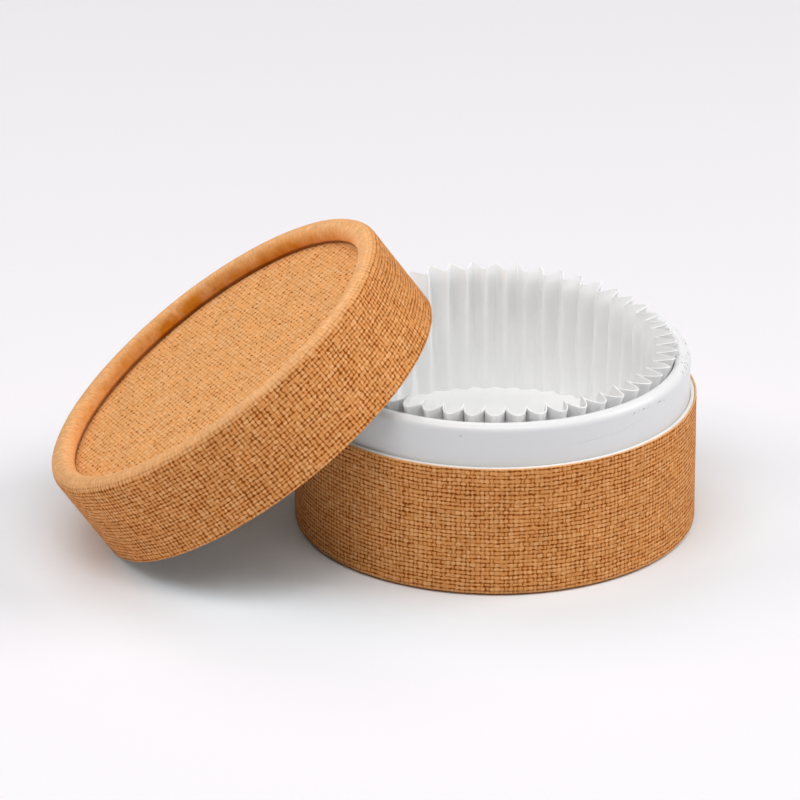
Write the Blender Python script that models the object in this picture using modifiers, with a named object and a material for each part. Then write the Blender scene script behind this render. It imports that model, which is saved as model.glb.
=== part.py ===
"""Round kraft box with its lid off: the lid leans on the base, its mouth edge on the table.

The base is a card tube wrapped in woven-texture kraft paper. A white card tub with a rolled rim
stands in it and rises past its edge as the neck that the lid slides over. A fluted paper cup stands
on the tub's floor. The lid's card tube is rolled over at the top, and its panel sits under the roll.

Metres, +Z up. The origin is the centre of the base's underside, and the lid lies towards -X.
"""

import math

import bpy
from mathutils import Matrix, Vector

MM = 0.001

# What the plies share
WRAP_PAPER = 0.4 * MM
GLUE_LINE = 0.1 * MM
REST_GAP = 0.3 * MM
BOARD = 2.0 * MM

# Base
BASE_DIAMETER = 90.0 * MM
BASE_HEIGHT = 30.2 * MM
BASE_TUBE_WALL = 0.85 * MM
BASE_FOOT_RADIUS = 0.7 * MM
TURN_IN_WIDTH = 8.0 * MM
FOOT_PAPER = 0.3 * MM
FOOT_PAPER_MARGIN = 3.0 * MM

# White tub, whose upper part is the neck
NECK_RISE = 9.6 * MM
TUB_WALL = 0.8 * MM
RIM_BEAD_DIAMETER = 3.5 * MM
RIM_CURL_DEGREES = 285.0
TUB_FLOOR_LEVEL = 14.8 * MM
TUB_FLOOR_CARD = 0.6 * MM
TUB_FOLD_CLEARANCE = 0.9 * MM

# Fluted paper cup
CUP_FLUTES = 50
CUP_PAPER = 0.25 * MM
CUP_RISE = 1.2 * MM
CUP_TAPER = 3.6 * MM
CUP_RIM_FLARE = 0.5 * MM
FLUTE_DEPTH_RIM = 4.2 * MM
FLUTE_DEPTH_FOOT = 0.9 * MM

# The cup's paper is cut off centre, so its rim is highest at one place, given as a compass angle
# from +X. It falls away slowly on one side, and soon on the other, where the lid presses it down.
CUP_HIGH_RISE = 3.6 * MM
CUP_HIGH_DEGREES = 112.0
CUP_SLOW_FALL_DEGREES = 115.0
CUP_PRESSED_FALL_DEGREES = 24.0

# Lid
LID_FIT = 0.2 * MM
LID_HEIGHT = 22.4 * MM
LID_TUBE_WALL = 0.55 * MM
LID_BEAD_DIAMETER = 5.2 * MM
PANEL_RECESS = 4.4 * MM
COVER_PAPER = 0.3 * MM
CEILING_PAPER = 0.2 * MM
CEILING_MARGIN = 1.0 * MM

# How the lid leans: its tilt, the way its top faces, and where it stands, as compass angles from +X
LID_LEAN_DEGREES = 35.9
LID_FACING_DEGREES = 183.4
LID_BEARING_DEGREES = 192.4

# Facets and the points of curves
RING_FACETS = 54
BEND_STEPS = 2
BEAD_STEPS = 6
CURL_STEPS = 9
FLUTE_POINTS = 6
SEAT_SAMPLES = 720
SEAT_HALVINGS = 40
SHARP_DEGREES = 35.0
MERGE_DISTANCE = 0.001 * MM

# Cup rows, as shares of its height, and the roundness of a flute's lobe
CUP_ROW_SHARES = (0.0, 0.12, 0.88, 1.0)
FLUTE_ROUND_SHARE = 0.8
FLUTE_GROWTH_SHARE = 0.8

# Sizes that follow from those
base_outer = BASE_DIAMETER / 2
wrap_foot = FOOT_PAPER + GLUE_LINE
board_foot = wrap_foot + WRAP_PAPER + GLUE_LINE
board_top = board_foot + BOARD
base_tube_outer = base_outer - WRAP_PAPER - GLUE_LINE
base_tube_inner = base_tube_outer - BASE_TUBE_WALL

tub_outer = base_tube_inner - GLUE_LINE
tub_inner = tub_outer - TUB_WALL
tub_foot = board_top + REST_GAP
tub_floor_under = TUB_FLOOR_LEVEL - TUB_FLOOR_CARD
rim_top = BASE_HEIGHT + NECK_RISE
bead_radius = RIM_BEAD_DIAMETER / 2
bead_centre = tub_outer - bead_radius
bead_level = rim_top - bead_radius
skirt_outer = tub_inner - GLUE_LINE
skirt_inner = skirt_outer - TUB_FLOOR_CARD
fold_outer = skirt_inner - GLUE_LINE
fold_inner = fold_outer - TUB_WALL

cup_foot = TUB_FLOOR_LEVEL + REST_GAP
cup_top = rim_top + CUP_RISE
cup_height = cup_top - cup_foot
cup_bead_share = (bead_level - cup_foot) / cup_height
cup_bead_radius = tub_outer - RIM_BEAD_DIAMETER - REST_GAP
cup_rim_radius = cup_bead_radius + CUP_TAPER * (1 - cup_bead_share) + CUP_RIM_FLARE

lid_tube_inner = tub_outer + LID_FIT
lid_tube_outer = lid_tube_inner + LID_TUBE_WALL
lid_outer = lid_tube_outer + GLUE_LINE + WRAP_PAPER
lid_bead_radius = LID_BEAD_DIAMETER / 2
lid_bead_centre = lid_outer - lid_bead_radius
lid_bead_level = LID_HEIGHT - lid_bead_radius
cover_top = LID_HEIGHT - PANEL_RECESS
panel_top = cover_top - COVER_PAPER - GLUE_LINE
panel_radius = lid_tube_inner - GLUE_LINE

KRAFT_WEAVE = (0.462, 0.181, 0.058)
KRAFT_PLAIN = (0.392, 0.191, 0.079)
GREY_BOARD = (0.342, 0.314, 0.270)
WHITE_CARD = (0.823, 0.815, 0.791)
COATED_WHITE = (0.787, 0.791, 0.807)
CUP_WHITE = (0.831, 0.823, 0.807)


def clear_scene():
    """Empties the file that the script runs in."""
    for item in list(bpy.data.objects):
        bpy.data.objects.remove(item, do_unlink=True)
    for mesh in list(bpy.data.meshes):
        bpy.data.meshes.remove(mesh)


def make_collection(name):
    collection = bpy.data.collections.new(name)
    bpy.context.scene.collection.children.link(collection)
    return collection


def make_material(name, colour, roughness):
    material = bpy.data.materials.new(name)
    material.use_nodes = True
    shader = material.node_tree.nodes["Principled BSDF"]
    shader.inputs["Base Color"].default_value = (*colour, 1.0)
    shader.inputs["Roughness"].default_value = roughness
    shader.inputs["Metallic"].default_value = 0.0
    material.diffuse_color = (*colour, 1.0)
    return material


def arc(centre_r, centre_z, radius, start, end, steps):
    """Points of an arc in a profile, angles in degrees from the outward direction."""
    points = []
    for step in range(steps + 1):
        angle = math.radians(start + (end - start) * step / steps)
        points.append((centre_r + radius * math.cos(angle), centre_z + radius * math.sin(angle)))
    return points


def settle(item, collection, parent):
    """Applies an object's modifiers, shades it and puts it in its place in the tree."""
    collection.objects.link(item)
    bpy.context.view_layer.update()
    evaluated = item.evaluated_get(bpy.context.evaluated_depsgraph_get())
    applied = bpy.data.meshes.new_from_object(evaluated)
    draft = item.data
    item.modifiers.clear()
    item.data = applied
    applied.name = item.name
    bpy.data.meshes.remove(draft)
    applied.shade_smooth()
    applied.set_sharp_from_angle(angle=math.radians(SHARP_DEGREES))
    item.parent = parent


def turned(name, profile, material, collection, parent=None, solid_core=False):
    """A profile of (radius, height) points turned about Z.

    The profile runs down its outer side. It closes on itself, unless solid_core says that it
    starts and ends on the axis.
    """
    last = len(profile)
    edges = [(i, (i + 1) % last) for i in range(last - 1 if solid_core else last)]
    mesh = bpy.data.meshes.new(name)
    mesh.from_pydata([(r, 0.0, z) for r, z in profile], edges, [])
    mesh.materials.append(material)
    item = bpy.data.objects.new(name, mesh)
    screw = item.modifiers.new("turn", "SCREW")
    screw.axis = "Z"
    screw.angle = math.tau
    screw.steps = RING_FACETS
    screw.render_steps = RING_FACETS
    screw.use_merge_vertices = True
    screw.merge_threshold = MERGE_DISTANCE
    settle(item, collection, parent)
    return item


def disc(name, radius, low, high, material, collection, parent=None):
    profile = [(0.0, high), (radius, high), (radius, low), (0.0, low)]
    return turned(name, profile, material, collection, parent, solid_core=True)


def base_wrap_profile():
    """The side, a small round at the foot, and the margin turned in under the bottom."""
    inner = base_outer - WRAP_PAPER
    margin = base_outer - TURN_IN_WIDTH
    foot = wrap_foot + BASE_FOOT_RADIUS
    corner = base_outer - BASE_FOOT_RADIUS
    outside = arc(corner, foot, BASE_FOOT_RADIUS, 0, -90, BEND_STEPS)
    inside = arc(corner, foot, BASE_FOOT_RADIUS - WRAP_PAPER, -90, 0, BEND_STEPS)
    return [
        (base_outer, BASE_HEIGHT),
        *outside,
        (margin, wrap_foot),
        (margin, wrap_foot + WRAP_PAPER),
        *inside,
        (inner, BASE_HEIGHT),
    ]


def base_tube_profile():
    """The card tube, its foot edge eased for the round of the wrap."""
    ease = BASE_FOOT_RADIUS - WRAP_PAPER
    return [
        (base_tube_outer, BASE_HEIGHT),
        (base_tube_outer, board_foot + ease),
        (base_tube_outer - ease, board_foot),
        (base_tube_inner, board_foot),
        (base_tube_inner, BASE_HEIGHT),
    ]


def tub_wall_profile():
    """The wall, rolled inwards at the rim and folded up round the floor's skirt at the foot."""
    roll = bead_radius - TUB_WALL
    outside = arc(bead_centre, bead_level, bead_radius, RIM_CURL_DEGREES, 0, CURL_STEPS)
    inside = arc(bead_centre, bead_level, roll, 0, RIM_CURL_DEGREES, CURL_STEPS)
    fold_top = tub_floor_under - TUB_FOLD_CLEARANCE
    return [
        *outside,
        (tub_outer, tub_foot),
        (fold_inner, tub_foot),
        (fold_inner, fold_top),
        (fold_outer, fold_top),
        (fold_outer, tub_foot + TUB_WALL),
        (tub_inner, tub_foot + TUB_WALL),
        *inside,
    ]


def tub_floor_profile():
    """The recessed floor with its skirt, which stands in the wall's fold."""
    skirt_foot = tub_foot + TUB_WALL + REST_GAP
    return [
        (0.0, TUB_FLOOR_LEVEL),
        (skirt_outer, TUB_FLOOR_LEVEL),
        (skirt_outer, skirt_foot),
        (skirt_inner, skirt_foot),
        (skirt_inner, tub_floor_under),
        (0.0, tub_floor_under),
    ]


def lid_wrap_profile():
    """From the mouth's edge up the side, over the roll and down to the panel."""
    inner_roll = lid_bead_radius - WRAP_PAPER
    over = arc(lid_bead_centre, lid_bead_level, lid_bead_radius, 180, 0, BEAD_STEPS)
    under = arc(lid_bead_centre, lid_bead_level, inner_roll, 0, 180, BEAD_STEPS)
    foot = cover_top + REST_GAP
    return [
        (lid_bead_centre - lid_bead_radius, foot),
        *over,
        (lid_outer, 0.0),
        (lid_outer - WRAP_PAPER, 0.0),
        *under,
        (lid_bead_centre - inner_roll, foot),
    ]


def lid_tube_profile():
    """The card tube, its top rolled over into an upturned channel that ends on the panel."""
    roll = lid_bead_radius - WRAP_PAPER - GLUE_LINE
    inner_roll = roll - LID_TUBE_WALL
    over = arc(lid_bead_centre, lid_bead_level, roll, 180, 0, BEAD_STEPS)
    under = arc(lid_bead_centre, lid_bead_level, inner_roll, 0, 180, BEAD_STEPS)
    foot = cover_top + REST_GAP
    return [
        (lid_bead_centre - roll, foot),
        *over,
        (lid_tube_outer, 0.0),
        (lid_tube_inner, 0.0),
        *under,
        (lid_bead_centre - inner_roll, foot),
    ]


def cup_radius(height_share, lobe_share):
    """Radius of the cup's paper: height_share from foot to rim, lobe_share from crease to lobe."""
    taper = CUP_TAPER * (cup_bead_share - height_share)
    above_bead = max(0.0, height_share - cup_bead_share) / (1 - cup_bead_share)
    lobe = cup_bead_radius - taper + CUP_RIM_FLARE * above_bead**2
    growth = height_share**FLUTE_GROWTH_SHARE
    depth = FLUTE_DEPTH_FOOT + (FLUTE_DEPTH_RIM - FLUTE_DEPTH_FOOT) * growth
    return lobe - depth * (1 - lobe_share)


def cup_extra_height(angle):
    """How far the cup's rim stands above its lowest level in this direction, in radians from +X."""
    beyond = (math.degrees(angle) - CUP_HIGH_DEGREES + 180.0) % 360.0 - 180.0
    fall = CUP_PRESSED_FALL_DEGREES if beyond > 0.0 else CUP_SLOW_FALL_DEGREES
    if abs(beyond) >= fall:
        return 0.0
    return CUP_HIGH_RISE * math.cos(math.radians(90.0 * beyond / fall)) ** 2


def make_paper_cup(material, collection):
    """Round lobes outwards, sharp creases inwards, deeper towards the rim, on a flat floor.

    The faces point into the cup, and the paper's thickness is added on that side.
    """
    columns = CUP_FLUTES * FLUTE_POINTS
    points = [(0.0, 0.0, cup_foot)]
    for height_share in CUP_ROW_SHARES:
        for column in range(columns):
            along_flute = (column % FLUTE_POINTS) / FLUTE_POINTS
            lobe_share = math.sin(math.pi * along_flute) ** FLUTE_ROUND_SHARE
            angle = math.tau * column / columns
            extra = cup_extra_height(angle) * height_share
            radius = cup_radius(height_share, lobe_share) + CUP_TAPER * extra / cup_height
            height = cup_foot + cup_height * height_share + extra
            points.append((radius * math.cos(angle), radius * math.sin(angle), height))
    faces = []
    for column in range(columns):
        after = (column + 1) % columns
        faces.append((0, 1 + column, 1 + after))
        for row in range(len(CUP_ROW_SHARES) - 1):
            low = 1 + row * columns
            high = low + columns
            faces.append((low + column, high + column, high + after, low + after))
    mesh = bpy.data.meshes.new("paper_cup")
    mesh.from_pydata(points, [], faces)
    mesh.materials.append(material)
    cup = bpy.data.objects.new("paper_cup", mesh)
    shell = cup.modifiers.new("paper", "SOLIDIFY")
    shell.thickness = CUP_PAPER
    shell.offset = 1.0
    settle(cup, collection, None)
    return cup


def gap_to_base(point):
    """Distance from a point to the base's filled outline: its wrap, the tub's rim and the cup."""
    radius = math.hypot(point.x, point.y)
    extra = cup_extra_height(math.atan2(point.y, point.x))
    rim_radius = cup_rim_radius + CUP_TAPER * extra / cup_height
    wrap = math.hypot(max(radius - base_outer, 0.0), max(point.z - BASE_HEIGHT, 0.0))
    rim = math.hypot(max(radius - bead_centre, 0.0), max(point.z - bead_level, 0.0)) - bead_radius
    cup = math.hypot(max(radius - rim_radius, 0.0), max(point.z - cup_top - extra, 0.0))
    return min(wrap, rim, cup)


def lid_pose(distance):
    """The leaning lid's placement, its mouth's centre this far from the base's axis."""
    lean = math.radians(LID_LEAN_DEGREES)
    bearing = math.radians(LID_BEARING_DEGREES)
    centre = Vector((
        distance * math.cos(bearing),
        distance * math.sin(bearing),
        lid_outer * math.sin(lean),
    ))
    turn = Matrix.Rotation(math.radians(LID_FACING_DEGREES), 4, "Z")
    tilt = Matrix.Rotation(lean, 4, "Y")
    return Matrix.Translation(centre) @ turn @ tilt


def lean_gap(distance):
    """Least gap between the lid's mouth edges and the base at a distance."""
    pose = lid_pose(distance)
    least = math.inf
    for step in range(SEAT_SAMPLES):
        angle = math.tau * step / SEAT_SAMPLES
        for radius in (lid_outer, lid_tube_inner):
            edge = pose @ Vector((radius * math.cos(angle), radius * math.sin(angle), 0.0))
            least = min(least, gap_to_base(edge))
    return least


def seated_distance():
    """How near the lid comes, with its edge on the table, before it rests on the base."""
    near, far = 0.0, base_outer + lid_outer
    for _ in range(SEAT_HALVINGS):
        middle = (near + far) / 2
        if lean_gap(middle) < REST_GAP:
            near = middle
        else:
            far = middle
    return far


def make_base(collection, weave, card, board, plain):
    turned("base_wrap", base_wrap_profile(), weave, collection)
    turned("base_tube", base_tube_profile(), card, collection)
    disc("base_disc", base_tube_inner - GLUE_LINE, board_foot, board_top, board, collection)
    disc("foot_paper", base_outer - FOOT_PAPER_MARGIN, 0.0, FOOT_PAPER, plain, collection)


def make_tub(collection, coated, card):
    turned("tub_wall", tub_wall_profile(), coated, collection)
    turned("tub_floor", tub_floor_profile(), card, collection, solid_core=True)


def make_lid(collection, weave, cover, card, board, white):
    seat = bpy.data.objects.new("lid_seat", None)
    collection.objects.link(seat)
    seat.matrix_world = lid_pose(seated_distance())
    turned("lid_wrap", lid_wrap_profile(), weave, collection, seat)
    turned("lid_tube", lid_tube_profile(), card, collection, seat)
    disc("panel_cover", panel_radius, cover_top - COVER_PAPER, cover_top, cover, collection, seat)
    disc("lid_panel", panel_radius, panel_top - BOARD, panel_top, board, collection, seat)
    ceiling_top = panel_top - BOARD - GLUE_LINE
    ceiling_radius = panel_radius - CEILING_MARGIN
    ceiling_low = ceiling_top - CEILING_PAPER
    disc("lid_ceiling", ceiling_radius, ceiling_low, ceiling_top, white, collection, seat)
    return seat


def main():
    clear_scene()
    collection = make_collection("round_kraft_box")
    make_base(
        collection,
        make_material("base_woven_paper", KRAFT_WEAVE, 0.75),
        make_material("base_card", WHITE_CARD, 0.7),
        make_material("base_board", GREY_BOARD, 0.85),
        make_material("foot_kraft", KRAFT_PLAIN, 0.8),
    )
    make_tub(
        collection,
        make_material("tub_coated_card", COATED_WHITE, 0.3),
        make_material("tub_floor_card", WHITE_CARD, 0.5),
    )
    make_paper_cup(make_material("greaseproof_paper", CUP_WHITE, 0.5), collection)
    make_lid(
        collection,
        make_material("lid_woven_paper", KRAFT_WEAVE, 0.75),
        make_material("panel_woven_paper", KRAFT_WEAVE, 0.75),
        make_material("lid_card", WHITE_CARD, 0.7),
        make_material("lid_board", GREY_BOARD, 0.85),
        make_material("ceiling_paper", WHITE_CARD, 0.6),
    )
    bpy.context.view_layer.update()
    seat = bpy.data.objects["lid_seat"].matrix_world
    print("lid mouth centre, mm:", [round(value / MM, 2) for value in seat.translation])


main()
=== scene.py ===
"""Looks of the round kraft box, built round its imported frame.

The base and the lid are wrapped in kraft paper with a woven texture pressed into it. The neck is
white coated card with a rolled rim, and the fluted cup inside is white greaseproof paper.

Sizes are in millimetres times MM, in the frame's own coordinates: +Z up, the base's axis on Z, and
the lid leaning towards -X. Each piece is built about its own axis, and the lid's pieces are then
leaned. The attribute "place" holds a point of the unleaned paper in millimetres: its x and y give
the way round the axis, and its z the length along the paper. The patterns follow it.
"""

from __future__ import annotations

import logging
import math
from dataclasses import dataclass, field, replace
from enum import Enum
from typing import Union

import bpy
from mathutils import Matrix, Vector

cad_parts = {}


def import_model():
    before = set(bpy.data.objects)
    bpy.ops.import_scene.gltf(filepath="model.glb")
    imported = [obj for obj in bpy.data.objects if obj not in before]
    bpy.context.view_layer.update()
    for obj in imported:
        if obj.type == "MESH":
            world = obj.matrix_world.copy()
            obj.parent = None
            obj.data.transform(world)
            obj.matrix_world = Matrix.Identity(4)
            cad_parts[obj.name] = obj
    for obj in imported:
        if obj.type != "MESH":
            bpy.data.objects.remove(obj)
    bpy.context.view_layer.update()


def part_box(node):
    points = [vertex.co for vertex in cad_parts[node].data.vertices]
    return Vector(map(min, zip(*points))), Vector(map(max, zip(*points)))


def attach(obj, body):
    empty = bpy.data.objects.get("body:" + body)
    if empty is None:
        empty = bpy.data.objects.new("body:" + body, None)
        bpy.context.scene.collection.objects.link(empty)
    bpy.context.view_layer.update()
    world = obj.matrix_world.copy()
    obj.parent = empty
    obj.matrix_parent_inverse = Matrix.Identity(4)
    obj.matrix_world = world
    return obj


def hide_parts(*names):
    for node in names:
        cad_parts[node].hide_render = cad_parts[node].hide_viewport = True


LOG = logging.getLogger("round_kraft_box")
MM = 0.001
# Half width, in threads, of the weave's lines in a mesh, whose points are too far apart for finer.
COARSE_LINE = 0.45
# Length of the slight waver in paper and card, in millimetres.
WAVER_LENGTH = 14.0
# Radius of a cut edge's rounding, and the largest distances between an outline's points: on such a
# rounding, on a wall that doesn't show, and on a disc. All in millimetres.
EDGE_ROUND = 0.1
EDGE_STEP = 0.08
HIDDEN_STEP = 6.0
DISC_STEP = 15.0
# Height in millimetres at which an outline stops above its first point, to close its loop.
LAST_ROW = 0.5
# Faces round a plain tube and a plain disc.
TUBE_COLUMNS = 360
DISC_COLUMNS = 240
# Points that are closer together than this, in metres, are one.
MERGE_DISTANCE = 2e-6
# An edge is sharp where its faces turn by more than this.
SHARP_DEGREES = 62.0

Plug = Union[bpy.types.NodeSocket, float, int, bool, str, tuple]
Inputs = dict[Union[int, str], Plug]
Values = dict[str, Plug]
Stops = list[tuple[float, str]]
Sum = tuple


class Body(Enum):
    """The bodies that pieces ride on."""

    BASE = "base"
    CUP = "cup"
    LID = "lid"


class Closing(Enum):
    """How a turned outline ends, as the rows of faces that it has beyond its points."""

    LOOP = 0
    OPEN = -1


def linear(hex_colour: str) -> tuple[float, float, float, float]:
    """Turns an sRGB hex colour into linear values.

    Args:
        hex_colour: Six hex digits.

    Returns:
        Red, green, blue and an alpha of one.
    """
    channels = []
    for start in (0, 2, 4):
        value = int(hex_colour[start:start + 2], 16) / 255
        channels.append(value / 12.92 if value <= 0.04045 else ((value + 0.055) / 1.055) ** 2.4)
    return channels[0], channels[1], channels[2], 1.0


def plug(tree: bpy.types.NodeTree, node: bpy.types.Node, inputs: Inputs) -> None:
    """Gives a node's inputs what they take.

    Args:
        tree: The node's tree.
        node: The node.
        inputs: What each input takes: a socket to link, or a value.
    """
    for key, value in inputs.items():
        if isinstance(value, bpy.types.NodeSocket):
            tree.links.new(value, node.inputs[key])
        else:
            node.inputs[key].default_value = value


def add_node(
    tree: bpy.types.NodeTree,
    kind: str,
    inputs: Inputs | None = None,
    stops: Stops | None = None,
    **settings: object,
) -> bpy.types.Node:
    """Adds a node with its settings and links.

    Args:
        tree: Shader or geometry tree.
        kind: The node's type.
        inputs: What its inputs take.
        stops: The places and hex colours of a colour ramp.
        **settings: The node's own properties.

    Returns:
        The new node.
    """
    node = tree.nodes.new(kind)
    for name, value in settings.items():
        setattr(node, name, value)
    if stops:
        marks = node.color_ramp.elements
        while len(marks) < len(stops):
            marks.new(0.5)
        for mark, (position, colour) in zip(marks, stops):
            mark.position = position
            mark.color = linear(colour)
    plug(tree, node, inputs or {})
    return node


def work_out(tree: bpy.types.NodeTree, known: Values, sums: list[Sum]) -> Values:
    """Adds the Math nodes of a list of sums, in order.

    Args:
        tree: Shader or geometry tree.
        known: Sockets and numbers that the sums may name.
        sums: Rows of a result's name, a Math operation and its terms, each a name or a number.

    Returns:
        Every value by its name, the known ones among them.
    """
    values = dict(known)
    for name, operation, *terms in sums:
        inputs = {i: values[t] if isinstance(t, str) else t for i, t in enumerate(terms)}
        values[name] = add_node(tree, "ShaderNodeMath", inputs, operation=operation).outputs[0]
    return values


def held(name: str, low: float = 0.0, high: float = 1.0) -> list[Sum]:
    """The sums that hold a value between two limits."""
    return [(name, "MAXIMUM", name, low), (name, "MINIMUM", name, high)]


# The woven texture


@dataclass(frozen=True)
class Stroke:
    """A kind of dark mark: its half width in threads, the share left bare, and its strength.

    The chances that set each single mark's strength are spread apart, and held over a least share.
    """

    width: float
    bare: float
    gain: float
    spread: float = 1.25
    least: float = 0.1

    def strength(self, name: str) -> list[Sum]:
        """Works out a mark's strength from its own chance and the region.

        Args:
            name: The mark's name.

        Returns:
            The sums, of which the last gives the name with "_strength".
        """
        strength = name + "_strength"
        return [
            (strength, "SUBTRACT", name + "_chance", self.bare),
            (strength, "ADD", strength, "region"),
            (strength, "MULTIPLY", strength, self.spread),
            *held(strength, self.least),
            (strength, "MULTIPLY", strength, self.gain),
        ]


@dataclass(frozen=True)
class Weave:
    """A plain weave pressed into paper: wefts run round and warps along, over each other by turns.

    Each crossing is a flat pad. A dash is the dark line between two rows, and a tick the one where
    a weft dips under a warp. Both are broken at random, and meet in a dark hole at a pad's corners.
    Pitches and lengths are in millimetres, everything else in threads or shares. The threads
    wander, jog and differ in width, which along a thread changes `slow` times as fast as across.
    """

    row_pitch: float = 0.95
    wander: float = 0.4
    wander_length: float = 8.0
    jog: float = 0.22
    jog_length: float = 0.9
    uneven: float = 0.36
    uneven_threads: float = 1.4
    slow: float = 0.05
    overlap: float = 0.13
    dash: Stroke = Stroke(0.28, -0.04, 0.58)
    tick: Stroke = Stroke(0.26, -0.02, 0.55)
    hole: Stroke = Stroke(0.31, 0.0, 1.0)
    hole_length: float = 0.5
    falloff: float = 1.5
    region_gain: float = 0.25
    region_length: float = 4.0
    crown: float = 0.2
    long_chance: float = 0.1

    def columns(self) -> float:
        """Threads after which the pattern meets itself again."""
        raise NotImplementedError

    def grid(self) -> list[Sum]:
        """The sums that give where a point lies, in threads "around" and "along"."""
        raise NotImplementedError

    def threads(self, tree: bpy.types.NodeTree, place: bpy.types.NodeSocket) -> Values:
        """Adds the noises that shift the threads.

        Args:
            tree: The tree.
            place: The point of the paper, in millimetres.

        Returns:
            The place's "x", "y" and "z", the grid's values, "region", and for each way, u round and
            v along, the noises "wander_", "jog_" and "uneven_".
        """
        point = add_node(tree, "ShaderNodeSeparateXYZ", {0: place})
        known: Values = dict(zip("xyz", point.outputs))
        for name, length in (("wander", self.wander_length), ("jog", self.jog_length)):
            noise = add_node(
                tree, "ShaderNodeTexNoise", {"Vector": place, "Scale": 1 / length, "Detail": 1.0}
            )
            parts = add_node(tree, "ShaderNodeSeparateXYZ", {0: noise.outputs[1]})
            known[name + "_u"] = parts.outputs[0]
            known[name + "_v"] = parts.outputs[1]
        known["region"] = add_node(tree, "ShaderNodeTexNoise", {
            "Vector": place, "Scale": 1 / self.region_length, "Detail": 2.0,
        }).outputs[0]
        values = work_out(tree, known, self.grid() + [
            *[("slow_" + axis, "MULTIPLY", axis, self.slow) for axis in ("x", "y", "along")],
            ("region", "SUBTRACT", "region", 0.5),
            ("region", "MULTIPLY", "region", self.region_gain),
        ])
        lines = {"uneven_u": ("x", "y", "slow_along"), "uneven_v": ("along", "slow_x", "slow_y")}
        for name, axes in lines.items():
            line = add_node(
                tree, "ShaderNodeCombineXYZ", {i: values[axis] for i, axis in enumerate(axes)}
            )
            values[name] = add_node(tree, "ShaderNodeTexNoise", {
                "Vector": line.outputs[0], "Scale": 1 / self.uneven_threads, "Detail": 1.0,
            }).outputs[0]
        return values

    def cells(self) -> list[Sum]:
        """Works out the crossing at a point, and where in it the point lies.

        Returns:
            Sums that give the crossing's "column" and "row", "edge_u" and "edge_v", the numbers of
            the nearest gaps between threads, "across_u" and "across_v", from -0.5 to 0.5 over the
            crossing, and "over", 1 where its pad is long and -1 where it is short.
        """
        sums: list[Sum] = []
        reaches = {"wander_": self.wander, "jog_": self.jog, "uneven_": self.uneven}
        for way, start, cell in (("u", "around", "column"), ("v", "along", "row")):
            for noise, reach in reaches.items():
                sums += [
                    (noise + way, "SUBTRACT", noise + way, 0.5),
                    (way, "MULTIPLY_ADD", noise + way, 2 * reach, start),
                ]
                start = way
            across, edge = "across_" + way, "edge_" + way
            sums += [
                (cell, "FLOOR", way),
                (across, "SUBTRACT", way, cell),
                (across, "SUBTRACT", across, 0.5),
                (edge, "ADD", way, 0.5),
                (edge, "FLOOR", edge),
            ]
        return sums + [
            ("parity", "ADD", "column", "row"),
            ("parity", "FLOORED_MODULO", "parity", 2.0),
            ("over", "MULTIPLY_ADD", "parity", -2.0, 1.0),
            ("column", "FLOORED_MODULO", "column", self.columns()),
            ("edge_u", "FLOORED_MODULO", "edge_u", self.columns()),
        ]

    def marks(self) -> list[Sum]:
        """Works out the marks and the pads from the cells and their chances.

        Returns:
            Sums that give "dark", "middle" and "height".
        """
        sums: list[Sum] = [
            ("long", "LESS_THAN", "pad_chance", self.long_chance),
            ("long", "MULTIPLY_ADD", "long", 2.0, -1.0),
            ("over", "MAXIMUM", "over", "long"),
            ("hole_end", "ABSOLUTE", "across_u"),
            ("hole_end", "SUBTRACT", 0.5, "hole_end"),
            ("tick", "MULTIPLY_ADD", "over", self.overlap, "hole_end"),
            ("tick", "ABSOLUTE", "tick"),
            ("line", "ABSOLUTE", "across_v"),
            ("dash", "SUBTRACT", 0.5, "line"),
            ("hole", "SUBTRACT", 0.5, "line"),
        ]
        widths = {
            "dash": self.dash.width, "tick": self.tick.width,
            "hole": self.hole.width, "hole_end": self.hole_length,
        }
        for name, width in widths.items():
            sums += [
                (name, "MULTIPLY_ADD", name, -1 / width, 1.0),
                (name, "MAXIMUM", name, 0.0),
            ]
        sums += [
            ("dash", "POWER", "dash", self.falloff),
            ("tick", "POWER", "tick", self.falloff),
            ("hole", "MULTIPLY", "hole", "hole_end"),
        ]
        for name, stroke in (("dash", self.dash), ("tick", self.tick), ("hole", self.hole)):
            sums += stroke.strength(name)
            sums.append((name, "MULTIPLY", name, name + "_strength"))
        # The square of half a thread is a quarter, so 4 takes it to 1 at a pad's edge.
        return sums + [
            ("dark", "MAXIMUM", "dash", "tick"),
            ("dark", "ADD", "dark", "hole"),
            ("dark", "MINIMUM", "dark", 1.0),
            ("crown", "MULTIPLY", "across_v", "across_v"),
            ("middle", "MULTIPLY_ADD", "crown", -4.0, 1.0),
            ("middle_u", "MULTIPLY", "across_u", "across_u"),
            ("middle_u", "MULTIPLY_ADD", "middle_u", -4.0, 1.0),
            ("middle", "MULTIPLY", "middle", "middle_u"),
            ("crown", "MULTIPLY", "crown", 4 * self.crown),
            ("height", "SUBTRACT", 1.0, "dark"),
            ("height", "SUBTRACT", "height", "crown"),
        ]

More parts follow.
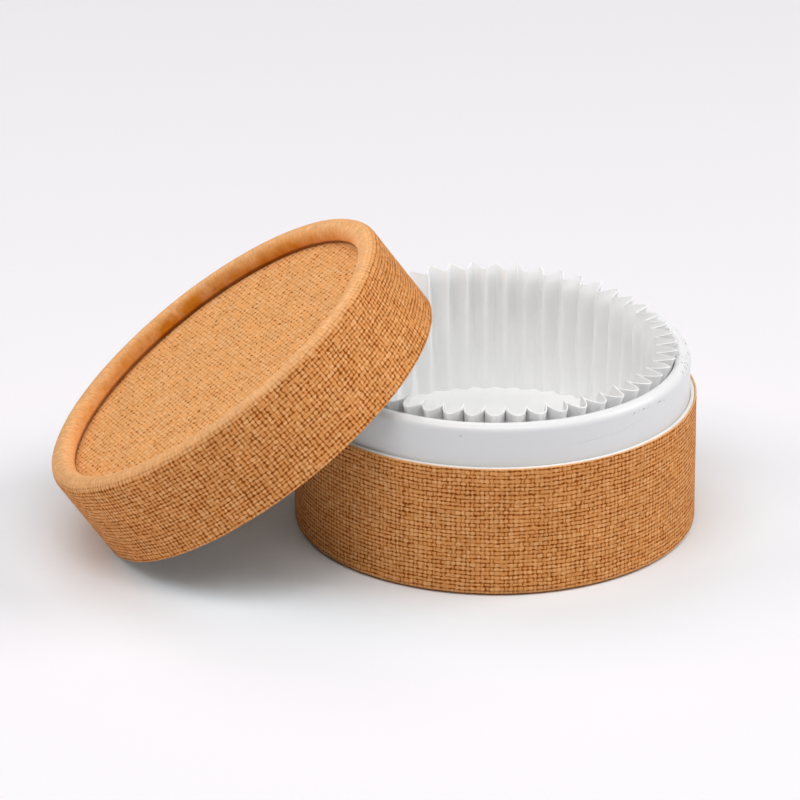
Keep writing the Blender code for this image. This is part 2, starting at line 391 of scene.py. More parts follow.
    def press(self, tree: bpy.types.NodeTree, place: bpy.types.NodeSocket) -> Values:
        """Adds the pattern's nodes to a shader or a geometry tree.

        Args:
            tree: The tree.
            place: The point of the paper, in millimetres.

        Returns:
            Values by name: "height" from 0 in a pit to 1 on a pad, "dark", from 0 on a pad to 1 in
            a hole, "pad_chance", a random value for each pad, "middle", from 0 at a pad's edge to 1
            in its middle, and the place's "x", "y" and "z".
        """
        values = work_out(tree, self.threads(tree, place), self.cells())
        chances = {
            "pad": ("column", "row", 5.0),
            "dash": ("column", "edge_v", 11.0),
            "tick": ("edge_u", "row", 23.0),
            "hole": ("edge_u", "edge_v", 37.0),
        }
        for name, (across, up, seed) in chances.items():
            cell = add_node(
                tree, "ShaderNodeCombineXYZ", {0: values[across], 1: values[up], 2: seed}
            )
            values[name + "_chance"] = add_node(
                tree, "ShaderNodeTexWhiteNoise", {"Vector": cell.outputs[0]}
            ).outputs[0]
        return work_out(tree, values, self.marks())


@dataclass(frozen=True)
class RoundWeave(Weave):
    """The weave on a wrap, its wefts round the axis. The thread count is even, so that it meets."""

    threads_round: int = 264

    def columns(self) -> float:
        """Threads round the axis."""
        return float(self.threads_round)

    def grid(self) -> list[Sum]:
        """Works out the threads round from the angle, and along from the length of the paper.

        Returns:
            Sums that give "around" and "along".
        """
        return [
            ("turn", "ARCTAN2", "y", "x"),
            ("around", "MULTIPLY", "turn", self.threads_round / math.tau),
            ("along", "DIVIDE", "z", self.row_pitch),
        ]


@dataclass(frozen=True)
class FlatWeave(Weave):
    """The weave on the flat panel: fainter, and turned by an angle.

    The panel is seen so much from the side that warps 1 mm apart would be too fine to show, so
    they are drawn wider apart.
    """

    overlap: float = 0.15
    dash: Stroke = Stroke(0.27, 0.3, 0.3)
    tick: Stroke = Stroke(0.3, 0.1, 0.38)
    hole: Stroke = Stroke(0.3, 0.25, 1.2)
    hole_length: float = 0.32
    crown: float = 0.0
    warp_pitch: float = 1.9
    turn_degrees: float = 108.2

    def columns(self) -> float:
        """More threads than the panel has."""
        return 4096.0

    def grid(self) -> list[Sum]:
        """Works out the threads both ways from x and y.

        Returns:
            Sums that give "around" and "along".
        """
        turn = math.radians(self.turn_degrees)
        cosine, sine = math.cos(turn), math.sin(turn)
        return [
            ("around", "MULTIPLY", "x", cosine / self.warp_pitch),
            ("around", "MULTIPLY_ADD", "y", sine / self.warp_pitch, "around"),
            ("along", "MULTIPLY", "x", -sine / self.row_pitch),
            ("along", "MULTIPLY_ADD", "y", cosine / self.row_pitch, "along"),
        ]


# Outlines and geometry trees


@dataclass
class Outline:
    """Points of radius and height, in millimetres, that are turned about the axis.

    It runs up the outer side, so that the faces point outwards. Each point also has the share of
    the weave that shows there and the depth of the flutes.
    """

    points: list[tuple[float, float]] = field(default_factory=list)
    weave: list[float] = field(default_factory=list)
    flute: list[float] = field(default_factory=list)

    def add(self, radius: float, height: float, weave: float = 0.0, flute: float = 0.0) -> Outline:
        """Adds one point, unless it is the last one again.

        Args:
            radius: The point's radius.
            height: Its height.
            weave: The share of the weave there.
            flute: The depth of the flutes there.

        Returns:
            The outline itself.
        """
        if not self.points or math.dist(self.points[-1], (radius, height)) > 1e-6:
            self.points.append((radius, height))
            self.weave.append(weave)
            self.flute.append(flute)
        return self

    def line(self, radius: float, height: float, step: float, weave: float = 0.0) -> Outline:
        """Adds evenly spaced points on a straight line from the last point.

        Args:
            radius: The line's last radius.
            height: The line's last height.
            step: Largest distance between points.
            weave: The share of the weave along it.

        Returns:
            The outline itself.
        """
        from_radius, from_height = self.points[-1]
        length = math.dist((from_radius, from_height), (radius, height))
        count = max(1, math.ceil(length / step))
        for i in range(1, count + 1):
            part = i / count
            self.add(
                from_radius + (radius - from_radius) * part,
                from_height + (height - from_height) * part,
                weave,
            )
        return self

    def arc(
        self,
        centre: tuple[float, float],
        radius: float,
        start: float,
        end: float,
        step: float,
        weave: float = 0.0,
    ) -> Outline:
        """Adds evenly spaced points on an arc.

        Args:
            centre: Radius and height of its centre.
            radius: Its own radius.
            start: First angle, in degrees from the outward direction.
            end: Last angle.
            step: Largest distance between points.
            weave: The share of the weave along it.

        Returns:
            The outline itself.
        """
        count = max(2, math.ceil(abs(math.radians(end - start)) * radius / step))
        for i in range(count + 1):
            angle = math.radians(start + (end - start) * i / count)
            self.add(
                centre[0] + radius * math.cos(angle), centre[1] + radius * math.sin(angle), weave
            )
        return self

    def runs(self) -> list[float]:
        """Measures the length along the outline.

        Returns:
            The length up to each point.
        """
        lengths = [0.0]
        for before, after in zip(self.points, self.points[1:]):
            lengths.append(lengths[-1] + math.dist(before, after))
        return lengths

    def mesh(self, name: str) -> bpy.types.Mesh:
        """Makes a mesh of the points alone.

        Args:
            name: The mesh's name.

        Returns:
            The points in metres, with their runs and shares as attributes.
        """
        mesh = bpy.data.meshes.new(name)
        mesh.from_pydata([(r * MM, 0.0, z * MM) for r, z in self.points], [], [])
        for label, values in (("run", self.runs()), ("weave", self.weave), ("flute", self.flute)):
            mesh.attributes.new(label, "FLOAT", "POINT").data.foreach_set("value", values)
        return mesh


@dataclass(frozen=True)
class Flutes:
    """The folds of a paper cup: round lobes outwards, creases inwards that are softer at the back.

    They drift sideways by a share of a flute and change in depth by a share of it. The rim is cut
    long on one side, as the CAD cup has it: it falls slowly from its highest point one way round,
    and quickly the other way, where the lid presses it down.
    """

    foot: float
    rise: float
    taper: float
    count: int = 50
    roundness: float = 1.2
    back_softer: float = 0.52
    drift: float = 0.05
    depth_change: float = 0.16
    high_rise: float = 3.6
    high_degrees: float = 112.0
    slow_fall_degrees: float = 115.0
    pressed_fall_degrees: float = 24.0
    level_scale: float = 0.02
    noise_scales: tuple[float, float] = (5.0, 9.0)

    def lift(self) -> list[Sum]:
        """Raises the rim where the paper is cut long.

        Returns:
            Sums that change "height" and "radius".
        """
        fall = self.slow_fall_degrees
        return [
            ("beyond", "MULTIPLY_ADD", "turn", 180 / math.pi, 180 - self.high_degrees),
            ("beyond", "FLOORED_MODULO", "beyond", 360.0),
            ("beyond", "SUBTRACT", "beyond", 180.0),
            ("pressed", "GREATER_THAN", "beyond", 0.0),
            ("fall", "MULTIPLY_ADD", "pressed", self.pressed_fall_degrees - fall, fall),
            ("beyond", "ABSOLUTE", "beyond"),
            ("beyond", "DIVIDE", "beyond", "fall"),
            ("beyond", "MINIMUM", "beyond", 1.0),
            ("beyond", "MULTIPLY", "beyond", math.pi / 2),
            ("beyond", "COSINE", "beyond"),
            ("beyond", "POWER", "beyond", 2.0),
            ("share", "MULTIPLY_ADD", "height", 1 / (self.rise * MM), -self.foot / self.rise),
            ("extra", "MULTIPLY", "share", "beyond"),
            ("extra", "MULTIPLY", "extra", self.high_rise * MM),
            ("height", "ADD", "height", "extra"),
            ("radius", "MULTIPLY_ADD", "extra", self.taper / self.rise, "radius"),
        ]

    def fold(self, tree: bpy.types.NodeTree, values: Values) -> Values:
        """Adds the nodes that fold the flutes and let them drift a little sideways.

        Args:
            tree: The geometry tree.
            values: "turn" in radians, "radius" and "height" in metres, and the depth "flute".

        Returns:
            The values with the new "radius", "height" and "turn".
        """
        values = work_out(tree, values, self.lift() + [
            ("side_x", "COSINE", "turn"),
            ("side_y", "SINE", "turn"),
            ("level", "MULTIPLY", "height", self.level_scale / MM),
        ])
        line = add_node(tree, "ShaderNodeCombineXYZ", {
            0: values["side_x"], 1: values["side_y"], 2: values["level"],
        })
        for name, scale in zip(("drift", "change"), self.noise_scales):
            values[name] = add_node(
                tree, "ShaderNodeTexNoise",
                {"Vector": line.outputs[0], "Scale": scale, "Detail": 1.0},
            ).outputs[0]
        return work_out(tree, values, [
            ("lobe", "MULTIPLY", "turn", self.count / 2),
            ("lobe", "SINE", "lobe"),
            ("lobe", "ABSOLUTE", "lobe"),
            ("softness", "MULTIPLY_ADD", "side_y", self.back_softer, self.roundness),
            ("lobe", "POWER", "lobe", "softness"),
            ("crease", "SUBTRACT", 1.0, "lobe"),
            ("change", "SUBTRACT", "change", 0.5),
            ("depth", "MULTIPLY_ADD", "change", 2 * self.depth_change, 1.0),
            ("depth", "MULTIPLY", "depth", "flute"),
            ("depth", "MULTIPLY", "depth", "crease"),
            ("radius", "MULTIPLY_ADD", "depth", -MM, "radius"),
            ("drift", "SUBTRACT", "drift", 0.5),
            ("turn", "MULTIPLY_ADD", "drift", 2 * self.drift * math.tau / self.count, "turn"),
        ])


def new_tree(name: str, sockets: dict[str, str]) -> tuple[bpy.types.NodeTree, Values]:
    """Starts a geometry tree.

    Args:
        name: The tree's name.
        sockets: Each input's name and kind, without the kind's common start.

    Returns:
        The tree and its inputs by name.
    """
    tree = bpy.data.node_groups.new(name, "GeometryNodeTree")
    for label, kind in sockets.items():
        tree.interface.new_socket(label, in_out="INPUT", socket_type="NodeSocket" + kind)
    tree.interface.new_socket("Piece", in_out="OUTPUT", socket_type="NodeSocketGeometry")
    given = add_node(tree, "NodeGroupInput").outputs
    return tree, {label: given[label] for label in sockets}


def finish_tree(
    tree: bpy.types.NodeTree,
    grid: bpy.types.NodeSocket,
    points: Values,
    given: Values,
    weave: Weave | None,
) -> None:
    """Adds the end of a tree: the shape, its weave and slight waver, instances and material.

    Args:
        tree: The geometry tree.
        grid: The grid whose points are moved into the shape.
        points: Each point's "spot" in metres, and its "place" and "weave", which are stored.
        given: The tree's inputs, with "Relief", "Waver" and "Material".
        weave: The weave that is pressed in, if any.
    """
    shape = grid
    for name, kind in (("place", "FLOAT_VECTOR"), ("weave", "FLOAT")):
        shape = add_node(tree, "GeometryNodeStoreNamedAttribute", {
            "Geometry": shape, "Name": name, "Value": points[name],
        }, data_type=kind, domain="POINT").outputs[0]
    moved = add_node(
        tree, "GeometryNodeSetPosition", {"Geometry": shape, "Position": points["spot"]}
    )
    closed = add_node(tree, "GeometryNodeMergeByDistance", {
        "Geometry": moved.outputs[0], "Distance": MERGE_DISTANCE,
    })
    place = add_node(
        tree, "GeometryNodeInputNamedAttribute", {"Name": "place"}, data_type="FLOAT_VECTOR"
    ).outputs["Attribute"]
    soft = add_node(
        tree, "ShaderNodeTexNoise", {"Vector": place, "Scale": 1 / WAVER_LENGTH, "Detail": 1.0}
    )
    known: Values = {"soft": soft.outputs[0], **given}
    sums: list[Sum] = [
        ("soft", "SUBTRACT", "soft", 0.5),
        ("rise", "MULTIPLY", "soft", "Waver"),
    ]
    if weave is not None:
        known["share"] = add_node(
            tree, "GeometryNodeInputNamedAttribute", {"Name": "weave"}, data_type="FLOAT"
        ).outputs["Attribute"]
        coarse = replace(
            weave,
            dash=replace(weave.dash, width=COARSE_LINE),
            tick=replace(weave.tick, width=COARSE_LINE),
        )
        known["height"] = coarse.press(tree, place)["height"]
        sums += [
            ("share", "MAXIMUM", "share", 0.0),
            ("height", "SUBTRACT", "height", 0.5),
            ("height", "MULTIPLY", "height", "share"),
            ("rise", "MULTIPLY_ADD", "height", "Relief", "rise"),
        ]
    values = work_out(tree, known, sums)
    normal = add_node(tree, "GeometryNodeInputNormal")
    offset = add_node(
        tree, "ShaderNodeVectorMath", {0: normal.outputs[0], "Scale": values["rise"]},
        operation="SCALE",
    )
    pressed = add_node(tree, "GeometryNodeSetPosition", {
        "Geometry": closed.outputs[0], "Offset": offset.outputs[0],
    })
    whole = add_node(tree, "GeometryNodeRealizeInstances", {0: pressed.outputs[0]})
    dressed = add_node(
        tree, "GeometryNodeSetMaterial", {0: whole.outputs[0], "Material": given["Material"]}
    )
    add_node(tree, "NodeGroupOutput", {0: dressed.outputs[0]})


def turned_tree(weave: Weave | None, flutes: Flutes | None) -> bpy.types.NodeTree:
    """Makes a tree that turns an outline's points about the axis.

    Args:
        weave: The weave that is pressed in, if any.
        flutes: The flutes that are folded in, if any.

    Returns:
        The tree.
    """
    tree, given = new_tree("turned", {
        "Outline": "Geometry", "Columns": "Int", "Points": "Int", "Rows": "Int",
        "Paper Radius": "Float", "Relief": "Float", "Waver": "Float", "Material": "Material",
    })
    values = work_out(tree, given, [
        ("across", "ADD", "Columns", 1.0),
        ("up", "ADD", "Rows", 1.0),
    ])
    grid = add_node(tree, "GeometryNodeMeshGrid", {
        "Size X": given["Columns"], "Size Y": given["Rows"],
        "Vertices X": values["across"], "Vertices Y": values["up"],
    })
    corner = add_node(tree, "GeometryNodeInputPosition").outputs[0]
    parts = add_node(tree, "ShaderNodeSeparateXYZ", {0: corner})
    values = work_out(tree, {**values, "cx": parts.outputs[0], "cy": parts.outputs[1]}, [
        ("column", "MULTIPLY_ADD", "Columns", 0.5, "cx"),
        ("column", "ROUND", "column"),
        ("row", "MULTIPLY_ADD", "Rows", 0.5, "cy"),
        ("row", "ROUND", "row"),
        ("row", "FLOORED_MODULO", "row", "Points"),
        ("turn", "DIVIDE", "column", "Columns"),
        ("turn", "MULTIPLY", "turn", math.tau),
    ])
    for name in ("run", "weave", "flute"):
        stored = add_node(
            tree, "GeometryNodeInputNamedAttribute", {"Name": name}, data_type="FLOAT"
        )
        values[name] = add_node(tree, "GeometryNodeSampleIndex", {
            0: given["Outline"], "Value": stored.outputs["Attribute"], "Index": values["row"],
        }, data_type="FLOAT").outputs[0]
    point = add_node(tree, "GeometryNodeSampleIndex", {
        0: given["Outline"], "Value": corner, "Index": values["row"],
    }, data_type="FLOAT_VECTOR")
    profile = add_node(tree, "ShaderNodeSeparateXYZ", {0: point.outputs[0]})
    values["radius"], values["height"] = profile.outputs[0], profile.outputs[2]
    if flutes is not None:
        values = flutes.fold(tree, values)
    values = work_out(tree, values, [
        ("cosine", "COSINE", "turn"),
        ("sine", "SINE", "turn"),
        ("px", "MULTIPLY", "cosine", "radius"),
        ("py", "MULTIPLY", "sine", "radius"),
        ("ax", "MULTIPLY", "cosine", "Paper Radius"),
        ("ay", "MULTIPLY", "sine", "Paper Radius"),
    ])
    points: Values = {"weave": values["weave"]}
    for name, axes in {"spot": ("px", "py", "height"), "place": ("ax", "ay", "run")}.items():
        points[name] = add_node(
            tree, "ShaderNodeCombineXYZ", {i: values[axis] for i, axis in enumerate(axes)}
        ).outputs[0]
    finish_tree(tree, grid.outputs[0], points, given, weave)
    return tree


def disc_tree(weave: Weave) -> bpy.types.NodeTree:
    """Makes a tree that rounds a square grid to a disc of even cells, which a flat weave needs.

    Args:
        weave: The weave that is pressed in.

    Returns:
        The tree.
    """
    tree, given = new_tree("flat_disc", {
        "Start": "Geometry", "Cells": "Int", "Radius": "Float", "Level": "Float",
        "Relief": "Float", "Waver": "Float", "Material": "Material",
    })
    grid = add_node(tree, "GeometryNodeMeshGrid", {
        "Size X": 2.0, "Size Y": 2.0, "Vertices X": given["Cells"], "Vertices Y": given["Cells"],
    })
    corner = add_node(tree, "GeometryNodeInputPosition").outputs[0]
    parts = add_node(tree, "ShaderNodeSeparateXYZ", {0: corner})
    sums: list[Sum] = []
    for name, side, other in (("x", "u", "v"), ("y", "v", "u")):
        sums += [
            (name, "MULTIPLY", other, other),
            (name, "MULTIPLY_ADD", name, -0.5, 1.0),
            (name, "SQRT", name),
            (name, "MULTIPLY", name, side),
            (name, "MULTIPLY", name, "Radius"),
        ]
    values = work_out(tree, {**given, "u": parts.outputs[0], "v": parts.outputs[1]}, sums)
    spot = add_node(tree, "ShaderNodeCombineXYZ", {
        0: values["x"], 1: values["y"], 2: given["Level"],
    })
    place = add_node(
        tree, "ShaderNodeVectorMath", {0: spot.outputs[0], "Scale": 1 / MM}, operation="SCALE"
    )
    points: Values = {"spot": spot.outputs[0], "place": place.outputs[0], "weave": 1.0}
    finish_tree(tree, grid.outputs[0], points, given, weave)
    return tree


def grow(
    name: str,
    start: bpy.types.Mesh,
    tree: bpy.types.NodeTree,
    sizes: dict[str, object],
    thickness: float = 0.0,
    lean: Matrix | None = None,
) -> bpy.types.Object:
    """Runs a tree and keeps its result as a plain mesh.

    Args:
        name: The piece's name.
        start: The mesh that the tree starts from.
        tree: The geometry tree.
        sizes: Values of the tree's inputs by name.
        thickness: Wall that a single sheet gets on its inner side, in millimetres.
        lean: Placement of a leaning piece.

    Returns:
        The finished piece, its object at the origin.
    """
    piece = bpy.data.objects.new(name, start)
    growth = piece.modifiers.new("growth", "NODES")
    growth.node_group = tree
    for socket in tree.interface.items_tree:
        if socket.in_out == "INPUT" and socket.name in sizes:
            growth[socket.identifier] = sizes[socket.name]
    if thickness:
        wall = piece.modifiers.new("wall", "SOLIDIFY")
        wall.thickness = thickness * MM
        wall.offset = -1.0
        wall.use_even_offset = True
    bpy.context.scene.collection.objects.link(piece)
    graph = bpy.context.evaluated_depsgraph_get()
    mesh = bpy.data.meshes.new_from_object(
        piece.evaluated_get(graph), preserve_all_data_layers=True, depsgraph=graph
    )
    piece.modifiers.clear()
    piece.data = mesh
    bpy.data.meshes.remove(start)
    mesh.name = name
    if lean is not None:
        mesh.transform(lean)
    mesh.shade_smooth()
    mesh.set_sharp_from_angle(angle=math.radians(SHARP_DEGREES))
    return piece


def hand_over(piece: bpy.types.Object, body: Body, node: str) -> None:
    """Puts a finished piece on its body in place of a CAD node, which it hides.

    Args:
        piece: The piece.
        body: The body that it rides on.
        node: The node that it stands for.
    """
    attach(piece, body.value)
    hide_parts(node)
    faces = sum(len(face.vertices) - 2 for face in piece.data.polygons)
    LOG.info("%s: %d triangles on %s", piece.name, faces, body.value)


@dataclass(frozen=True)
class Turning:
    """How an outline becomes a turned piece. Lengths are in millimetres."""

    columns: int
    paper_radius: float
    relief: float = 0.0
    waver: float = 0.0
    thickness: float = 0.0
    weave: Weave | None = None
    flutes: Flutes | None = None
    closing: Closing = Closing.LOOP
    lean: Matrix | None = None

    def make(self, name: str, outline: Outline, finish: Finish) -> bpy.types.Object:
        """Turns an outline into a piece.

        Args:
            name: The piece's name.
            outline: Its outline.
            finish: Its surface.

        Returns:
            The finished piece.
        """
        count = len(outline.points)
        sizes = {
            "Columns": self.columns,
            "Points": count,
            "Rows": count + self.closing.value,
            "Paper Radius": self.paper_radius,
            "Relief": self.relief * MM,
            "Waver": self.waver * MM,
            "Material": finish.material(),
        }
        tree = turned_tree(self.weave, self.flutes)
        return grow(name, outline.mesh(name), tree, sizes, self.thickness, self.lean)


# Finishes


@dataclass(frozen=True)
class Finish:
    """A surface. Each kind is named for its real material and says what that gives the eye."""

    name: str

    def paint(self, tree: bpy.types.NodeTree, shader: bpy.types.Node) -> None:
        """Adds the finish's nodes and sets the shader."""
        raise NotImplementedError

    def material(self) -> bpy.types.Material:
        """Makes the finish's material.

        Returns:
            The material, painted.
        """
        made = bpy.data.materials.new(self.name)
        made.use_nodes = True
        self.paint(made.node_tree, made.node_tree.nodes["Principled BSDF"])
        return made


@dataclass(frozen=True)
class WovenKraft(Finish):
    """Kraft paper with a weave pressed and printed into it: matt, warm brown, dark in the pits.

    Where the weave's share falls, as on the lid's roll, the paper is stretched smooth: it keeps
    only fine streaks across the roll and small flecks. Behind the roll the paper is painted darker
    as painted shade, lighter again towards the roll's ends as painted light, and the panel's edge
    has a dark crease of painted shade. The lid's paper is painted paler towards its raised end, as
    painted light, by the share `high_end_painted_light`. Depths and lengths are in millimetres, a
    gain or a light is a share.
    """

    weave: Weave
    depth: float = 0.07
    pit: str = "87400b"
    shade: str = "b66a2c"
    body: str = "da9758"
    light: str = "efb276"
    smooth: str = "e9a665"
    fleck: str = "cc7f3d"
    sheen: str = "f8c999"
    # Painted shade: the colour behind the roll.
    painted_roll_shade: str = "be751c"
    # Painted shade: the dark colour of the crease by the panel.
    crease: str = "55280a"
    roll_radius: float = 42.0
    # Painted light: how much paler the paper is painted towards the lid's raised end.
    high_end_painted_light: float = 0.0
    streak_length: float = 0.42
    streak_stretch: float = 0.28
    streak_gain: float = 1.4
    streak_relief: float = 0.5
    smooth_light: float = 0.6
    woven_light: float = 0.4
    dark_gain: float = 0.8
    fibre_gain: float = 0.4
    fibre_relief: float = 0.1
    # Painted highlight on random pads: its rarity and its strength.
    bright_power: float = 2.5
    bright_gain: float = 0.75
    # Painted shade: how dark the crease by the panel is painted.
    crease_shade_gain: float = 0.8
    # Painted shade behind the roll: its gain, its share in the middle, its least share, and how much
    # less it is towards the roll's ends.
    roll_shade_gain: float = 1.2
    roll_shade_middle: float = 0.5
    roll_shade_least: float = 0.25
    roll_shade_less_at_ends: float = 0.3
    # Painted light: how much lighter the inner side behind the roll is painted towards the roll's
    # ends.
    roll_end_painted_light: float = 0.25

    def roll_sums(self) -> list[Sum]:
        """Works out painted shade behind the roll and in its crease from the weave's share below
        zero.

        Returns:
            Sums that give "crease", "soak" and "inner".
        """
        return [
            # Painted shade behind the roll and in the crease by the panel, stronger towards the
            # lid's own -y and weaker towards the roll's ends, which keep "inner" for a painted
            # light.
            ("roll_shade", "MULTIPLY", "share", -1.0),
            ("crease", "SUBTRACT", "roll_shade", 1.0),
            ("crease", "MAXIMUM", "crease", 0.0),
            ("crease", "MULTIPLY", "crease", self.crease_shade_gain),
            *held("roll_shade"),
            ("end", "ABSOLUTE", "x"),
            ("end", "DIVIDE", "end", self.roll_radius),
            ("inner", "MULTIPLY", "roll_shade", "end"),
            ("roll_shade", "MULTIPLY", "roll_shade", "mottle"),
            ("behind", "MULTIPLY_ADD", "y", -1.0 / self.roll_radius, self.roll_shade_middle),
            ("behind", "MULTIPLY_ADD", "end", -self.roll_shade_less_at_ends, "behind"),
            ("behind", "MAXIMUM", "behind", self.roll_shade_least),
            ("roll_shade", "MULTIPLY", "roll_shade", "behind"),
            ("roll_shade", "MULTIPLY", "roll_shade", self.roll_shade_gain),
        ]

    def paper_sums(self) -> list[Sum]:
        """Works out how light the paper is and how high it stands.

        Returns:
            Sums that give "lit" for woven paper, "mark" for smooth paper, "relief" and "tone".
        """
        sums: list[Sum] = [
            ("share", "MAXIMUM", "share", 0.0),
            ("bare", "SUBTRACT", 1.0, "share"),
            ("lit", "MULTIPLY", "dark", -self.dark_gain),
            ("lit", "MULTIPLY_ADD", "fibre", self.fibre_gain, "lit"),
            # Random pads are painted lighter in their middles: random tone, and a painted highlight
            # on a raised pad's crown.
            ("bright", "POWER", "pad_chance", self.bright_power),
            ("bright", "MULTIPLY", "bright", "middle"),
            ("lit", "MULTIPLY_ADD", "bright", self.bright_gain, "lit"),
            ("lit", "ADD", "lit", self.woven_light),
            ("streak", "SUBTRACT", "streak", 0.5),
            ("mark", "MULTIPLY_ADD", "streak", self.streak_gain, self.smooth_light),
            ("lift", "MULTIPLY", "streak", self.streak_relief),
            ("lift", "MULTIPLY", "lift", "bare"),
            ("wool", "MULTIPLY_ADD", "fibre", self.fibre_relief, "lift"),
            ("relief", "MULTIPLY_ADD", "height", "share", "wool"),
            ("pad", "SUBTRACT", 1.0, "pad_chance"),
        ]
        # By how much each changes the tone, from its lowest value up.
        reaches = {"pad": (0.13, 0.93), "mottle": (0.24, 0.88), "grain": (0.2, 0.9)}
        for name, (reach, lowest) in reaches.items():
            sums.append((name, "MULTIPLY_ADD", name, reach, lowest))
        return sums + [
            ("tone", "MULTIPLY", "pad", "mottle"),
            ("tone", "MULTIPLY", "tone", "grain"),
            # Painted light: the paper is painted paler towards -x, the lid's raised end.
            ("tone", "MULTIPLY_ADD", "x", -self.high_end_painted_light / self.roll_radius, "tone"),
            # Painted light: the inner side behind the roll is painted lighter towards the roll's
            # ends.
            ("tone", "MULTIPLY_ADD", "inner", self.roll_end_painted_light, "tone"),
        ]

    def paint(self, tree: bpy.types.NodeTree, shader: bpy.types.Node) -> None:
        """Adds colour and bump from the same pressed pattern as the mesh.

        Args:
            tree: The material's tree.
            shader: Its shader.
        """
        place = add_node(tree, "ShaderNodeAttribute", attribute_name="place").outputs["Vector"]
        share = add_node(tree, "ShaderNodeAttribute", attribute_name="weave").outputs["Fac"]
        values: Values = {**self.weave.press(tree, place), "share": share}
        # The length of each noise in millimetres, and its detail.
        noises = {"fibre": (0.16, 3.0), "mottle": (6.0, 2.0), "grain": (0.9, 2.0)}
        for label, (length, detail) in noises.items():
            values[label] = add_node(
                tree, "ShaderNodeTexNoise",
                {"Vector": place, "Scale": 1 / length, "Detail": detail},
            ).outputs[0]
        stretched = add_node(
            tree, "ShaderNodeVectorMath", {0: place, 1: (1.0, 1.0, self.streak_stretch)},
            operation="MULTIPLY",
        )
        values["streak"] = add_node(tree, "ShaderNodeTexNoise", {
            "Vector": stretched.outputs[0], "Scale": 1 / self.streak_length,
            "Detail": 3.0, "Roughness": 0.6,
        }).outputs[0]
        values = work_out(tree, values, self.roll_sums() + self.paper_sums())
        woven = add_node(tree, "ShaderNodeValToRGB", {0: values["lit"]}, stops=[
            (0.05, self.pit), (0.3, self.shade), (0.58, self.body), (1.0, self.light),
        ])
        plain = add_node(tree, "ShaderNodeValToRGB", {0: values["mark"]}, stops=[
            (0.0, self.fleck), (0.35, self.smooth), (1.0, self.sheen),
        ])
        colour: Plug = plain.outputs[0]
        # The painted shade behind the roll and in the crease goes over the paper's colour.
        layers: dict[str, Plug] = {
            "share": woven.outputs[0], "roll_shade": linear(self.painted_roll_shade), "crease": linear(self.crease),
        }
        for amount, layer in layers.items():
            colour = add_node(
                tree, "ShaderNodeMixRGB", {0: values[amount], 1: colour, 2: layer}
            ).outputs[0]
        toned = add_node(
            tree, "ShaderNodeVectorMath", {0: colour, "Scale": values["tone"]}, operation="SCALE"
        )
        bump = add_node(tree, "ShaderNodeBump", {
            "Strength": 1.0, "Distance": self.depth * MM, "Height": values["relief"],
        })
        plug(tree, shader, {
            "Base Color": toned.outputs[0], "Normal": bump.outputs[0],
            "Roughness": 0.85, "Specular IOR Level": 0.12,
        })


@dataclass(frozen=True)
class PlainPaper(Finish):
    """Uncoated paper or card: matt, with a soft mottle and short fibres. Lengths in millimetres."""

    colour: str = "e9e6e0"
    deep: str = "dcd8d0"
    roughness: float = 0.75
    mottle_length: float = 4.0
    fibre_length: float = 0.5
    depth: float = 0.02

    def paint(self, tree: bpy.types.NodeTree, shader: bpy.types.Node) -> None:
        """Adds a faint mottle, and fibres that lift the surface a little.

        Args:
            tree: The material's tree.
            shader: Its shader.
        """
        place = add_node(tree, "ShaderNodeTexCoord").outputs["Object"]
        mottle, fibre = (
            add_node(
                tree, "ShaderNodeTexNoise",
                {"Vector": place, "Scale": 1 / (length * MM), "Detail": detail},
            )
            for length, detail in ((self.mottle_length, 3.0), (self.fibre_length, 4.0))
        )
        colour = add_node(tree, "ShaderNodeValToRGB", {0: mottle.outputs[0]}, stops=[
            (0.3, self.deep), (0.7, self.colour),
        ])
        bump = add_node(tree, "ShaderNodeBump", {
            "Strength": 1.0, "Distance": self.depth * MM, "Height": fibre.outputs[0],
        })
        plug(tree, shader, {
            "Base Color": colour.outputs[0], "Normal": bump.outputs[0],
            "Roughness": self.roughness,
        })


def only_seen(tree: bpy.types.NodeTree) -> bpy.types.NodeSocket:
    """Tells rays that show a surface from rays that light others by it.

    Args:
        tree: The shader tree.

    Returns:
        1 for rays of the camera, gloss and glass, else 0.
    """
    path = add_node(tree, "ShaderNodeLightPath").outputs
    rays = {kind: path["Is " + kind + " Ray"] for kind in ("Camera", "Glossy", "Transmission")}
    return work_out(tree, rays, [
        ("seen", "MAXIMUM", "Camera", "Glossy"),
        ("seen", "MAXIMUM", "seen", "Transmission"),
    ])["seen"]


